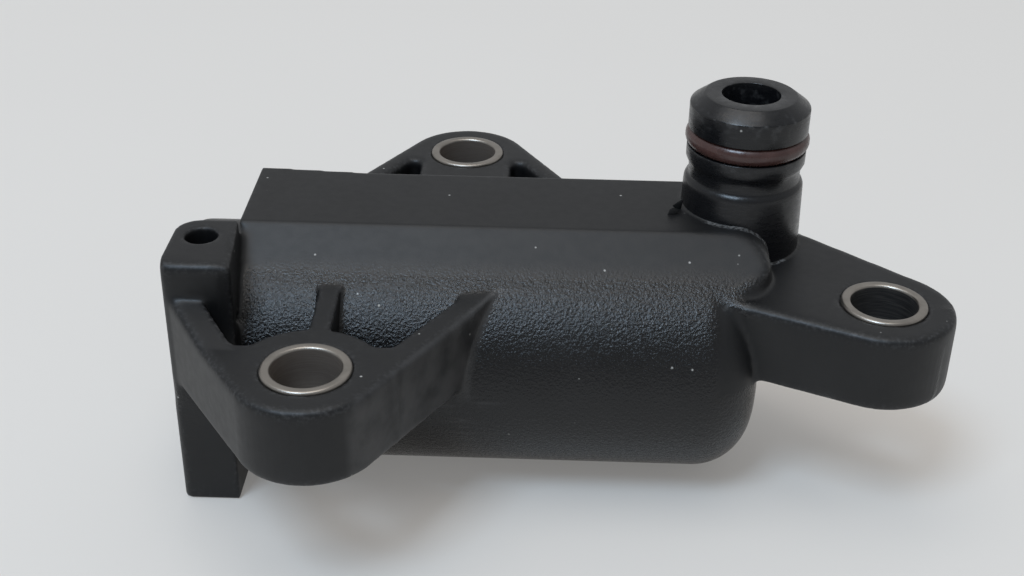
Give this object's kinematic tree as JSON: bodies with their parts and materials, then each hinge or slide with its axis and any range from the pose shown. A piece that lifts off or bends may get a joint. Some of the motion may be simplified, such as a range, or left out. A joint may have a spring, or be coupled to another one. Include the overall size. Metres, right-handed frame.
{
  "type": "timing chain tensioner",
  "caption": "Hydraulic timing chain tensioner: black moulded barrel with bolt lugs, a sealed oil inlet spigot, a lock post and a sprung steel plunger behind a ball check valve.",
  "frame": {"origin": "middle of the front bush's upper rim, on the plane that meets the engine block", "axes": "+X along the barrel from its open end to its closed end, +Y from the front lug to the rear lug, +Z along the bolt axes out of the mounting side"},
  "size_m": [0.0854, 0.067, 0.0416],
  "materials": {
    "housing_plastic": "glass-filled moulded plastic, matte with a pebbled barrel",
    "bush_steel": "turned steel, satin rim",
    "seal_brown": "brown moulded rubber, satin",
    "ground_steel": "hardened and ground",
    "seal_black": "black moulded rubber",
    "spring_steel": "drawn spring wire",
    "guide_plastic": "natural nylon",
    "valve_steel": "turned and pressed steel",
    "ball_steel": "polished bearing ball"
  },
  "bodies": {
    "housing": {"housing": "housing_plastic", "front_bush": "bush_steel", "rear_bush": "bush_steel", "right_bush": "bush_steel", "inlet_seal": "seal_brown", "cylinder_sleeve": "ground_steel", "sleeve_seal": "seal_black", "plunger_spring": "spring_steel", "valve_seat": "valve_steel", "valve_cage": "valve_steel", "valve_spring": "spring_steel"},
    "plunger": {"plunger": "ground_steel", "retaining_ring": "spring_steel", "spring_guide": "guide_plastic"},
    "check_ball": {"check_ball": "ball_steel"}
  },
  "joints": [
    {"name": "plunger_slide", "type": "slide", "parent": "housing", "child": "plunger", "axis": [-1, 0, 0], "range_m": [0, 0.018], "deforming": ["plunger_spring"]},
    {"name": "check_ball_lift", "type": "slide", "parent": "housing", "child": "check_ball", "axis": [-1, 0, 0], "range_m": [0, 0.0006], "stiffness_N_per_m": 50, "springref_m": -0.001, "deforming": ["valve_spring"]}
  ]
}
